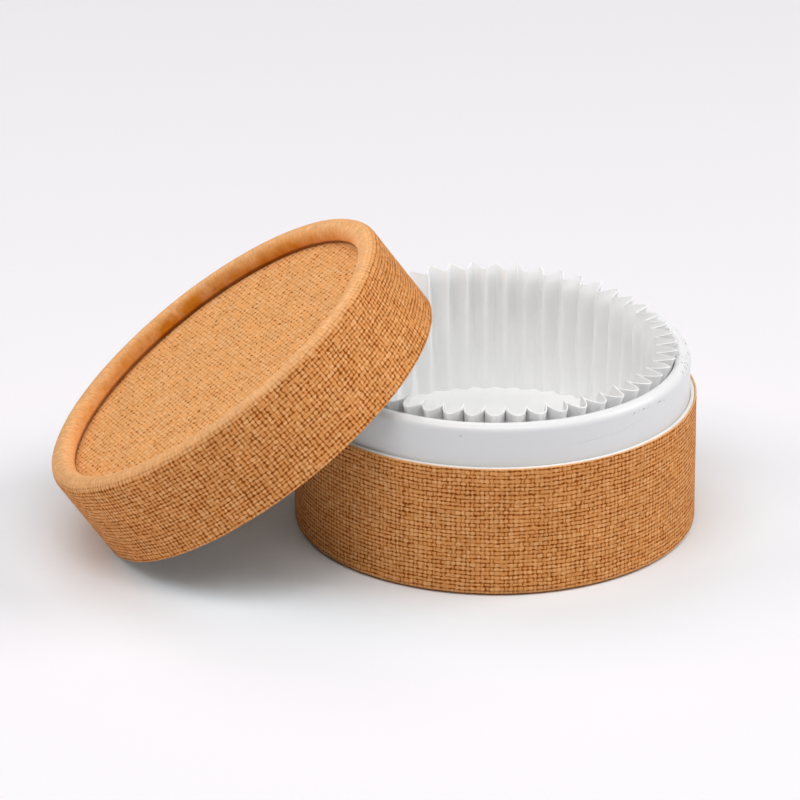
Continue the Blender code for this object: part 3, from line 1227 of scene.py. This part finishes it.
@dataclass(frozen=True)
class PaleTable(Finish):
    """The pale table top: even, with a painted cooler tint by the box, against the warm light that
    the box throws on it.

    Far off, where the soft boxes no longer reach, it stays as pale to the eye. Lengths are in
    millimetres.
    """

    far: str = "f5f2f6"
    # Painted light: the cooler colour of the table near the box.
    painted_cool_near: str = "f2f7fb"
    middle: tuple[float, float] = (-22.0, -5.0)
    depth_stretch: float = 1.35
    near_radius: float = 70.0
    fade: float = 55.0
    glow_from: float = 510.0
    glow_fade: float = 1200.0
    glow: float = 0.8
    roughness: float = 0.75

    def paint(self, tree: bpy.types.NodeTree, shader: bpy.types.Node) -> None:
        """Adds a smooth blend by the distance from the box.

        Args:
            tree: The material's tree.
            shader: Its shader.
        """
        spot = add_node(tree, "ShaderNodeTexCoord").outputs["Object"]
        parts = add_node(tree, "ShaderNodeSeparateXYZ", {0: spot})
        known = {"x": parts.outputs[0], "y": parts.outputs[1], "seen": only_seen(tree)}
        values = work_out(tree, known, [
            ("x", "SUBTRACT", "x", self.middle[0] * MM),
            ("y", "SUBTRACT", "y", self.middle[1] * MM),
            ("y", "MULTIPLY", "y", self.depth_stretch),
            ("x", "MULTIPLY", "x", "x"),
            ("far", "MULTIPLY_ADD", "y", "y", "x"),
            ("far", "SQRT", "far"),
            ("glow", "SUBTRACT", "far", self.glow_from * MM),
            ("glow", "DIVIDE", "glow", self.glow_fade * MM),
            *held("glow"),
            ("glow", "MULTIPLY", "glow", "seen"),
            ("glow", "MULTIPLY", "glow", self.glow),
            ("far", "SUBTRACT", "far", self.near_radius * MM),
            ("far", "DIVIDE", "far", self.fade * MM),
        ])
        # Painted light: the table is painted cooler near the box, against the box's warm light.
        colour = add_node(tree, "ShaderNodeValToRGB", {0: values["far"]}, stops=[
            (0.0, self.painted_cool_near), (1.0, self.far),
        ])
        plug(tree, shader, {
            "Base Color": colour.outputs[0], "Emission Strength": values["glow"],
            "Emission Color": linear(self.far), "Roughness": self.roughness,
        })


@dataclass(frozen=True)
class Scuff:
    """A handling mark: where it is on the neck, in degrees round and mm up, its reach and lean.

    The share `even` of it isn't broken up into specks.
    """

    turn: float
    height: float
    reach_degrees: float
    half_width: float
    rise_per_degree: float = 0.0
    strength: float = 1.0
    even: float = 0.0

    def sums(self) -> list[Sum]:
        """Works out how strongly the mark shows at a point.

        Returns:
            Sums that add it to "worn", from "turn", "height" and "broken".
        """
        return [
            ("aside", "SUBTRACT", "turn", self.turn),
            ("level", "SUBTRACT", "height", self.height),
            ("level", "MULTIPLY_ADD", "aside", -self.rise_per_degree, "level"),
            ("level", "ABSOLUTE", "level"),
            ("level", "MULTIPLY_ADD", "level", -1 / self.half_width, 1.0),
            ("aside", "ABSOLUTE", "aside"),
            ("aside", "MULTIPLY_ADD", "aside", -1 / self.reach_degrees, 1.0),
            ("aside", "MINIMUM", "aside", "level"),
            ("aside", "MAXIMUM", "aside", 0.0),
            ("aside", "MULTIPLY", "aside", self.strength),
            ("speck", "MAXIMUM", "broken", self.even),
            ("aside", "MULTIPLY", "aside", "speck"),
            ("worn", "MAXIMUM", "worn", "aside"),
        ]


@dataclass(frozen=True)
class CoatedCard(Finish):
    """White clay-coated card: smooth, half gloss, painted lighter on the rim as a painted highlight,
    with fine handling marks.

    Lengths are in millimetres. Wear shows where its noise is over `wear_from`, by `wear_gain`.
    """

    colour: str = "e5e7e8"
    # Painted highlight: the lighter white that the rim is painted above rim_highlight_level.
    rim: str = "f0f0f0"
    rim_highlight_level: float = 38.2
    scuff: str = "7b7b80"
    peel_length: float = 1.6
    peel_depth: float = 0.03
    wear_length: float = 0.7
    wear_flatness: float = 2.2
    wear_from: float = 0.55
    wear_gain: float = 14.0
    wear_most: float = 0.85
    scuffs: tuple[Scuff, ...] = (
        Scuff(-99.8, 37.3, 0.5, 0.25, strength=0.8, even=0.6),
        Scuff(-60.0, 34.5, 10.0, 0.14, 0.03, 0.25, 0.6),
        Scuff(-47.0, 35.2, 8.0, 0.14, 0.12, 0.25, 0.6),
        Scuff(-43.0, 37.9, 4.5, 0.3, 0.03, 1.5),
        Scuff(-33.0, 37.6, 3.0, 0.35, -0.06, 1.5, 0.1),
        Scuff(-12.0, 39.3, 5.5, 0.5, 0.04, 2.0),
        Scuff(-3.0, 39.5, 4.0, 0.3, -0.05, 2.0),
        Scuff(7.5, 39.5, 3.0, 0.3, 0.0, 2.0),
        Scuff(18.0, 39.4, 2.5, 0.3, 0.0, 2.0),
    )

    def paint(self, tree: bpy.types.NodeTree, shader: bpy.types.Node) -> None:
        """Adds even white with a slight orange-peel, a painted highlight on the rim, and the marks,
        broken up by a fine noise.

        Args:
            tree: The material's tree.
            shader: Its shader.
        """
        place = add_node(tree, "ShaderNodeAttribute", attribute_name="place").outputs["Vector"]
        peel = add_node(
            tree, "ShaderNodeTexNoise",
            {"Vector": place, "Scale": 1 / self.peel_length, "Detail": 2.0},
        )
        flat = add_node(
            tree, "ShaderNodeVectorMath", {0: place, 1: (1.0, 1.0, self.wear_flatness)},
            operation="MULTIPLY",
        )
        wear = add_node(tree, "ShaderNodeTexNoise", {
            "Vector": flat.outputs[0], "Scale": 1 / self.wear_length,
            "Detail": 3.0, "Roughness": 0.6,
        })
        spot = add_node(tree, "ShaderNodeTexCoord").outputs["Object"]
        parts = add_node(tree, "ShaderNodeSeparateXYZ", {0: spot})
        known: Values = {**dict(zip("xyz", parts.outputs)), "wear": wear.outputs[0], "worn": 0.0}
        sums: list[Sum] = [
            ("turn", "ARCTAN2", "y", "x"),
            ("turn", "MULTIPLY", "turn", 180 / math.pi),
            ("height", "MULTIPLY", "z", 1 / MM),
            # Painted highlight: above rim_highlight_level the rim is painted lighter.
            ("above", "SUBTRACT", "height", self.rim_highlight_level),
            *held("above"),
            ("broken", "SUBTRACT", "wear", self.wear_from),
            ("broken", "MULTIPLY", "broken", self.wear_gain),
            ("broken", "MINIMUM", "broken", 1.0),
        ]
        for mark in self.scuffs:
            sums += mark.sums()
        values = work_out(tree, known, sums + [("worn", "MINIMUM", "worn", self.wear_most)])
        colour: Plug = linear(self.colour)
        for amount, layer in (("above", self.rim), ("worn", self.scuff)):
            colour = add_node(
                tree, "ShaderNodeMixRGB", {0: values[amount], 1: colour, 2: linear(layer)}
            ).outputs[0]
        bump = add_node(tree, "ShaderNodeBump", {
            "Strength": 1.0, "Distance": self.peel_depth * MM, "Height": peel.outputs[0],
        })
        plug(tree, shader, {
            "Base Color": colour, "Normal": bump.outputs[0],
            "Roughness": 0.3, "Specular IOR Level": 0.5,
        })


@dataclass(frozen=True)
class Greaseproof(Finish):
    """Glassine cup paper: white, thin enough that light comes through, with a dull sheen."""

    colour: str = "ffffff"
    cloudy: str = "fdfdfd"
    cloud_length: float = 2.5
    depth: float = 0.02
    scatter: float = 0.25
    scatter_length: float = 1.0

    def paint(self, tree: bpy.types.NodeTree, shader: bpy.types.Node) -> None:
        """Lets light scatter inside the sheet, and adds its faint cloudy formation.

        Args:
            tree: The material's tree.
            shader: Its shader.
        """
        place = add_node(tree, "ShaderNodeAttribute", attribute_name="place").outputs["Vector"]
        cloud = add_node(
            tree, "ShaderNodeTexNoise",
            {"Vector": place, "Scale": 1 / self.cloud_length, "Detail": 4.0},
        ).outputs[0]
        colour = add_node(tree, "ShaderNodeValToRGB", {0: cloud}, stops=[
            (0.3, self.cloudy), (0.7, self.colour),
        ])
        bump = add_node(tree, "ShaderNodeBump", {
            "Strength": 1.0, "Distance": self.depth * MM, "Height": cloud,
        })
        plug(tree, shader, {
            "Base Color": colour.outputs[0], "Normal": bump.outputs[0], "Roughness": 0.5,
            "Subsurface Weight": self.scatter, "Subsurface Radius": (1.0, 1.0, 1.0),
            "Subsurface Scale": self.scatter_length * MM,
        })


# Sub-assemblies


@dataclass
class WrappedBase:
    """The base: a card tube in its woven wrap, on a foot paper. Sizes in millimetres."""

    radius: float = 45.0
    height: float = 30.2
    wrap: float = 0.4
    glue: float = 0.1
    wall: float = 0.85
    tube_corner: float = 0.3
    tube_proud: float = 0.02
    foot_bend: float = 0.7
    bend_weave: float = 0.8
    turn_in: float = 8.0
    foot_paper: float = 0.3
    foot_margin: float = 3.0
    columns: int = 792
    mesh_step: float = 0.33
    relief: float = 0.06
    waver: float = 0.1

    def build_wrap(self, finish: WovenKraft) -> None:
        """Builds the wrap, from the edge turned in under the bottom, up the side and down behind.

        Args:
            finish: Its surface.
        """
        foot = self.foot_paper + self.glue
        margin = self.radius - self.turn_in
        corner = (self.radius - self.foot_bend, foot + self.foot_bend)
        edge = (self.radius - EDGE_ROUND, self.height - EDGE_ROUND)
        inner = self.radius - self.wrap
        outline = Outline().add(margin, foot)
        outline.line(corner[0], foot, 1.5)
        outline.arc(corner, self.foot_bend, -90, 0, self.mesh_step, self.bend_weave)
        outline.line(self.radius, edge[1], self.mesh_step, 1.0)
        outline.arc(edge, EDGE_ROUND, 0, 90, EDGE_STEP)
        outline.line(inner, self.height, 0.2)
        outline.line(inner, corner[1], HIDDEN_STEP)
        outline.arc(corner, self.foot_bend - self.wrap, 0, -90, 0.2)
        outline.line(margin, foot + self.wrap, 3.0)
        turning = Turning(
            self.columns, self.radius, relief=self.relief, waver=self.waver, weave=finish.weave
        )
        hand_over(turning.make("base_paper_wrap", outline, finish), Body.BASE, "base_wrap")

    def build_tube(self, finish: Finish) -> None:
        """Builds the card tube, of which the cut top edge shows.

        Args:
            finish: Its surface.
        """
        outer = self.radius - self.wrap - self.glue
        inner = outer - self.wall
        foot = self.foot_paper + 2 * self.glue + self.wrap
        top = self.height + self.tube_proud
        low = top - EDGE_ROUND
        outline = Outline().add(inner, foot)
        outline.line(outer - self.tube_corner, foot, 1.0)
        outline.line(outer, foot + self.tube_corner, 1.0).line(outer, low, 8.0)
        outline.arc((outer - EDGE_ROUND, low), EDGE_ROUND, 0, 90, EDGE_STEP)
        outline.line(inner + EDGE_ROUND, top, 0.4)
        outline.line(inner, low, 0.2).line(inner, foot + LAST_ROW, 8.0)
        turning = Turning(TUBE_COLUMNS, outer)
        hand_over(turning.make("base_card_tube", outline, finish), Body.BASE, "base_tube")

    def build_foot(self, finish: Finish) -> None:
        """Builds the paper disc that covers the underside.

        Args:
            finish: Its surface.
        """
        edge = self.radius - self.foot_margin
        outline = Outline().add(0.0, 0.0).line(edge, 0.0, DISC_STEP)
        outline.line(edge, self.foot_paper, 1.0).line(0.0, self.foot_paper, DISC_STEP)
        turning = Turning(DISC_COLUMNS, edge, closing=Closing.OPEN)
        hand_over(turning.make("underside_paper", outline, finish), Body.BASE, "foot_paper")


@dataclass
class RimmedTub:
    """The white tub in the base: its wall with the rolled rim, and its recessed floor.

    Sizes are in millimetres. The wall's mesh is fine from `fine_from` up, where it shows.
    """

    radius: float = 43.55
    wall: float = 0.8
    foot: float = 3.2
    corner: float = 0.3
    fine_from: float = 30.0
    rim_top: float = 39.8
    bead: float = 1.75
    curl_degrees: float = 285.0
    fold_top: float = 13.3
    glue: float = 0.1
    skirt: float = 0.6
    floor_top: float = 14.8
    floor_under: float = 14.2
    skirt_gap: float = 0.3
    columns: int = 540
    waver: float = 0.12

    def build_wall(self, finish: Finish) -> None:
        """Builds the wall, rolled inwards at the rim and folded round the skirt at the foot.

        Args:
            finish: Its surface.
        """
        inner = self.radius - self.wall
        centre = (self.radius - self.bead, self.rim_top - self.bead)
        slot = inner - self.skirt - 2 * self.glue
        outline = Outline().add(slot - self.wall, self.foot)
        outline.line(self.radius - self.corner, self.foot, 1.0)
        outline.line(self.radius, self.foot + self.corner, 0.5)
        outline.line(self.radius, self.fine_from, HIDDEN_STEP).line(self.radius, centre[1], 0.6)
        outline.arc(centre, self.bead, 0, self.curl_degrees, 0.16)
        outline.arc(centre, self.bead - self.wall, self.curl_degrees, 0, 0.3)
        outline.line(inner, self.foot + self.wall, HIDDEN_STEP)
        outline.line(slot, self.foot + self.wall, 1.0).line(slot, self.fold_top, HIDDEN_STEP)
        outline.line(slot - self.wall, self.fold_top, 1.0)
        outline.line(slot - self.wall, self.foot + LAST_ROW, HIDDEN_STEP)
        turning = Turning(self.columns, self.radius, waver=self.waver)
        hand_over(turning.make("tub_card_wall", outline, finish), Body.BASE, "tub_wall")

    def build_floor(self, finish: Finish) -> None:
        """Builds the floor disc with its skirt.

        Args:
            finish: Its surface.
        """
        outer = self.radius - self.wall - self.glue
        foot = self.foot + self.wall + self.skirt_gap
        shoulder = (outer - self.corner, self.floor_top - self.corner)
        outline = Outline().add(0.0, self.floor_under)
        outline.line(outer - self.skirt, self.floor_under, DISC_STEP)
        outline.line(outer - self.skirt, foot, 4.0).line(outer, foot, 0.6)
        outline.line(outer, shoulder[1], 4.0).arc(shoulder, self.corner, 0, 90, 0.15)
        outline.line(0.0, self.floor_top, DISC_STEP)
        turning = Turning(DISC_COLUMNS, outer, closing=Closing.OPEN)
        hand_over(turning.make("tub_floor_card", outline, finish), Body.BASE, "tub_floor")


@dataclass
class FlutedCup:
    """The loose paper cup: a flat floor and a wall of fifty flutes that deepen to the rim.

    Sizes are in millimetres. The lobes widen on a taper, and flare beyond `bead_share` of the
    height, where the tub's rim is.
    """

    foot: float = 15.1
    top: float = 41.0
    paper: float = 0.25
    bead_share: float = 0.8861
    bead_radius: float = 39.75
    taper: float = 3.6
    flare: float = 0.5
    depth_foot: float = 0.9
    depth_rim: float = 4.3
    growth: float = 0.65
    floor_rings: tuple[float, ...] = (10.0, 20.0, 28.0)
    floor_fold: float = 3.5
    fold_rows: int = 6
    fold_growth: float = 1.5
    points_each: int = 24
    rows: int = 30
    waver: float = 0.1

    def lobe(self, share: float) -> float:
        """Radius of the lobes at a share of the height."""
        above = max(0.0, share - self.bead_share) / (1 - self.bead_share)
        return self.bead_radius - self.taper * (self.bead_share - share) + self.flare * above**2

    def build(self, finish: Finish) -> None:
        """Builds one sheet from the floor's centre to the rim, with the paper's thickness added.

        Args:
            finish: Its surface.
        """
        edge = self.lobe(0.0)
        outline = Outline().add(0.0, self.foot)
        for radius in (*self.floor_rings, edge - self.floor_fold):
            outline.add(radius, self.foot)
        for i in range(1, self.fold_rows + 1):
            part = i / self.fold_rows
            depth = self.depth_foot * part**self.fold_growth
            outline.add(edge - self.floor_fold * (1 - part), self.foot, flute=depth)
        for i in range(1, self.rows + 1):
            share = i / self.rows
            depth = self.depth_foot + (self.depth_rim - self.depth_foot) * share**self.growth
            height = self.foot + (self.top - self.foot) * share
            outline.add(self.lobe(share), height, flute=depth)
        flutes = Flutes(self.foot, self.top - self.foot, self.taper)
        turning = Turning(
            flutes.count * self.points_each, edge, waver=self.waver, thickness=self.paper,
            flutes=flutes, closing=Closing.OPEN,
        )
        hand_over(turning.make("fluted_paper_cup", outline, finish), Body.CUP, "paper_cup")


@dataclass
class LeaningLid:
    """The lid, built about its own axis with the mouth at height 0, then leaned.

    Sizes are in millimetres. The weave is stretched out over the top `stretch` of the side, and
    only the share `trace` of it is left on the roll. The crease's painted shade starts
    `crease_beads` times the roll's radius below the top.
    """

    radius: float = 44.8
    height: float = 22.4
    wrap: float = 0.4
    glue: float = 0.1
    wall: float = 0.55
    tube_row: float = 0.3
    bead: float = 2.6
    roll_degrees: float = 220.0
    stretch: float = 1.9
    trace: float = 0.15
    trace_fade: float = 4.0
    roll_shade_from: float = 0.3
    crease_beads: float = 1.25
    crease_height: float = 0.4
    cover_top: float = 18.0
    cover: float = 0.3
    cover_cells: int = 220
    cover_relief: float = 0.018
    cover_waver: float = 0.1
    panel_radius: float = 43.65
    panel_low: float = 15.6
    ceiling_radius: float = 42.65
    ceiling: float = 0.2
    facing_degrees: float = 183.4
    lean_degrees: float = 35.9
    columns: int = 792
    mesh_step: float = 0.33
    roll_step: float = 0.264
    relief: float = 0.06
    waver: float = 0.14

    def pose(self) -> Matrix:
        """Finds the lid's placement from the CAD cover's centre.

        Returns:
            The placement.
        """
        low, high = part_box("panel_cover")
        turn = Matrix.Rotation(math.radians(self.facing_degrees), 4, "Z")
        turn = turn @ Matrix.Rotation(math.radians(self.lean_degrees), 4, "Y")
        axis = turn.to_3x3() @ Vector((0.0, 0.0, 1.0))
        centre = (Vector(low) + Vector(high)) / 2
        mouth = centre - axis * (self.cover_top - self.cover / 2) * MM
        return Matrix.Translation(mouth) @ turn

    def weave_share(self, radius: float, level: float) -> float:
        """Works out how much of the weave is left at a point of the wrap.

        Args:
            radius: The point's radius.
            level: Its height above the mouth.

        Returns:
            1 on the side, a trace on top of the roll, -1 behind it, where the paper is painted
            darker as shade, and -2 in the crease by the panel, painted dark as shade.
        """
        inwards = (self.radius - self.bead - radius) / self.bead
        if inwards <= 0:
            return max(self.trace, min(1.0, (self.height - level) / self.stretch))
        left = self.trace * max(0.0, 1 - self.trace_fade * inwards)
        # Behind the roll the paper is painted darker, as painted shade.
        roll_shade = max(0.0, inwards - self.roll_shade_from) / (1 - self.roll_shade_from)
        # In the crease by the panel it is painted darker still, as painted shade.
        crease = (self.height - self.crease_beads * self.bead - level) / self.crease_height
        return left - roll_shade - max(0.0, min(1.0, crease))

    def build_wrap(self, finish: WovenKraft) -> None:
        """Builds the wrap, from the mouth's edge up the side, over the roll and to the panel.

        Args:
            finish: Its surface.
        """
        centre = (self.radius - self.bead, self.height - self.bead)
        inner = self.radius - self.wrap
        edge = self.radius - EDGE_ROUND
        outline = Outline().add(inner, 0.0).add(edge, 0.0)
        outline.arc((edge, EDGE_ROUND), EDGE_ROUND, -90, 0, EDGE_STEP)
        outline.line(self.radius, centre[1], self.mesh_step)
        outline.arc(centre, self.bead, 0, self.roll_degrees, self.roll_step)
        outline.arc(centre, self.bead - self.wrap, self.roll_degrees, 0, 0.8)
        outline.line(inner, self.wrap, HIDDEN_STEP)
        outline.weave = [self.weave_share(r, z) for r, z in outline.points]
        turning = Turning(
            self.columns, self.radius, relief=self.relief, waver=self.waver, weave=finish.weave,
            lean=self.pose(),
        )
        hand_over(turning.make("lid_paper_wrap", outline, finish), Body.LID, "lid_wrap")

    def build_tube(self, finish: Finish) -> None:
        """Builds the card tube, rolled over at the top.

        Args:
            finish: Its surface.
        """
        outer = self.radius - self.wrap - self.glue
        inner = outer - self.wall
        centre = (self.radius - self.bead, self.height - self.bead)
        roll = self.bead - self.wrap - self.glue
        outline = Outline().add(inner, 0.0).line(outer, 0.0, 0.3)
        outline.line(outer, centre[1], 5.0).arc(centre, roll, 0, self.roll_degrees, 0.5)
        outline.arc(centre, roll - self.wall, self.roll_degrees, 0, 0.6)
        outline.line(inner, self.tube_row, 5.0)
        turning = Turning(TUBE_COLUMNS, inner, lean=self.pose())
        hand_over(turning.make("lid_card_tube", outline, finish), Body.LID, "lid_tube")

    def build_cover(self, finish: WovenKraft) -> None:
        """Builds the paper on the panel.

        Args:
            finish: Its surface.
        """
        tree = disc_tree(finish.weave)
        piece = grow("panel_paper_cover", bpy.data.meshes.new("start"), tree, {
            "Cells": self.cover_cells,
            "Radius": self.panel_radius * MM,
            "Level": self.cover_top * MM,
            "Relief": self.cover_relief * MM,
            "Waver": self.cover_waver * MM,
            "Material": finish.material(),
        }, self.cover, self.pose())
        hand_over(piece, Body.LID, "panel_cover")

    def build_ceiling(self, finish: Finish) -> None:
        """Builds the white paper under the panel.

        Args:
            finish: Its surface.
        """
        top = self.panel_low - self.glue
        low = top - self.ceiling
        outline = Outline().add(0.0, low).line(self.ceiling_radius, low, DISC_STEP)
        outline.line(self.ceiling_radius, top, 1.0).line(0.0, top, DISC_STEP)
        turning = Turning(
            DISC_COLUMNS, self.ceiling_radius, closing=Closing.OPEN, lean=self.pose()
        )
        hand_over(turning.make("lid_ceiling_paper", outline, finish), Body.LID, "lid_ceiling")


# Studio


@dataclass(frozen=True)
class SoftBox:
    """A square soft box that faces the table's middle: its degrees round and up, and its power.

    Its power is in watts, its distance and size are in metres.
    """

    name: str
    around_degrees: float
    up_degrees: float
    power: float
    distance: float = 1.5
    size: float = 0.9

    def place(self) -> Vector:
        """Works out its place.

        Returns:
            The place, in metres.
        """
        around, up = math.radians(self.around_degrees), math.radians(self.up_degrees)
        level = math.cos(up)
        return self.distance * Vector(
            (level * math.cos(around), level * math.sin(around), math.sin(up))
        )

    def build(self) -> None:
        """Builds the lamp."""
        lamp = bpy.data.lights.new(self.name, "AREA")
        lamp.shape = "SQUARE"
        lamp.size = self.size
        lamp.energy = self.power
        holder = bpy.data.objects.new(self.name, lamp)
        holder.location = self.place()
        holder.rotation_euler = (-self.place()).to_track_quat("-Z", "Y").to_euler()
        bpy.context.scene.collection.objects.link(holder)


@dataclass
class Studio:
    """The table, the light and the camera, which comes from a fit to the photograph.

    Lengths are in metres, the lens's in pixels and the sensor in millimetres. Angles are in radians.
    """

    table_size: float = 8.0
    backdrop: str = "e9e7ea"
    boxes: tuple[SoftBox, ...] = (
        SoftBox("front_left_box", 240.0, 60.0, 7.85),
        SoftBox("front_right_box", 300.0, 60.0, 6.85),
        SoftBox("right_box", 5.0, 38.0, 10.3),
        SoftBox("left_box", 180.0, 30.0, 6.4),
        SoftBox("back_box", 115.0, 55.0, 4.2),
    )
    camera_at: tuple[float, float, float] = (0.0, -1.2295, 0.5505)
    yaw: float = -0.0173
    pitch: float = 0.4022
    roll: float = -0.0014
    focal_px: float = 5969.0
    image_px: float = 800.0
    sensor: float = 36.0
    clip_start: float = 0.05

    def build_table(self, finish: Finish) -> None:
        """Builds a large pale table.

        Args:
            finish: Its surface.
        """
        bpy.ops.mesh.primitive_plane_add(size=self.table_size, location=(0.0, 0.0, 0.0))
        table = bpy.context.object
        table.name = "studio_floor"
        table.data.materials.append(finish.material())

    def build_backdrop(self) -> None:
        """Builds a pale backdrop all round, which is seen and lights nothing."""
        world = bpy.data.worlds.new("studio_backdrop")
        world.use_nodes = True
        plug(world.node_tree, world.node_tree.nodes["Background"], {
            "Color": linear(self.backdrop), "Strength": only_seen(world.node_tree),
        })
        bpy.context.scene.world = world

    def build_camera(self) -> None:
        """Builds the camera with the photograph's viewpoint and lens."""
        forward = Vector((
            math.sin(self.yaw) * math.cos(self.pitch),
            math.cos(self.yaw) * math.cos(self.pitch),
            -math.sin(self.pitch),
        ))
        right = Vector((math.cos(self.yaw), -math.sin(self.yaw), 0.0))
        up = right.cross(forward)
        across = right * math.cos(self.roll) + up * math.sin(self.roll)
        upward = up * math.cos(self.roll) - right * math.sin(self.roll)
        turn = Matrix((across, upward, -forward)).transposed().to_4x4()
        data = bpy.data.cameras.new("camera")
        data.sensor_width = self.sensor
        data.lens = self.focal_px / self.image_px * self.sensor
        data.clip_start = self.clip_start
        camera = bpy.data.objects.new("camera", data)
        camera.matrix_world = Matrix.Translation(self.camera_at) @ turn
        bpy.context.scene.collection.objects.link(camera)
        bpy.context.scene.camera = camera

    def build(self) -> None:
        """Builds the whole studio."""
        self.build_table(PaleTable("pale_table"))
        self.build_backdrop()
        for box in self.boxes:
            box.build()
        self.build_camera()
        bpy.context.scene.view_settings.view_transform = "Standard"


def main() -> None:
    """Builds the box, the studio and the camera."""
    logging.basicConfig(level=logging.INFO, format="%(name)s: %(message)s")
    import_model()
    card = PlainPaper("white_card_edge", colour="f8f6f2", deep="f1eee9")
    base = WrappedBase()
    base.build_wrap(WovenKraft("woven_kraft_base", RoundWeave()))
    base.build_tube(card)
    base.build_foot(PlainPaper("plain_kraft", colour="b98a5c", deep="ac7d50"))
    tub = RimmedTub()
    tub.build_wall(CoatedCard("white_coated_card"))
    tub.build_floor(card)
    FlutedCup().build(Greaseproof("greaseproof_paper"))
    lid = LeaningLid()
    square = RoundWeave(overlap=0.05, dash=Stroke(0.27, 0.06, 0.46), tick=Stroke(0.3, -0.08, 0.66))
    lid.build_wrap(WovenKraft("woven_kraft_lid", square, high_end_painted_light=0.07))
    lid.build_tube(PlainPaper("white_card_tube"))
    lid.build_cover(WovenKraft(
        "woven_kraft_panel", FlatWeave(), depth=0.02, high_end_painted_light=0.025,
        body="e8a768", light="f5bd84", shade="c97f3c", pit="9c521c",
    ))
    lid.build_ceiling(PlainPaper("white_lining_paper"))
    Studio().build()


if __name__ == "__main__":
    main()
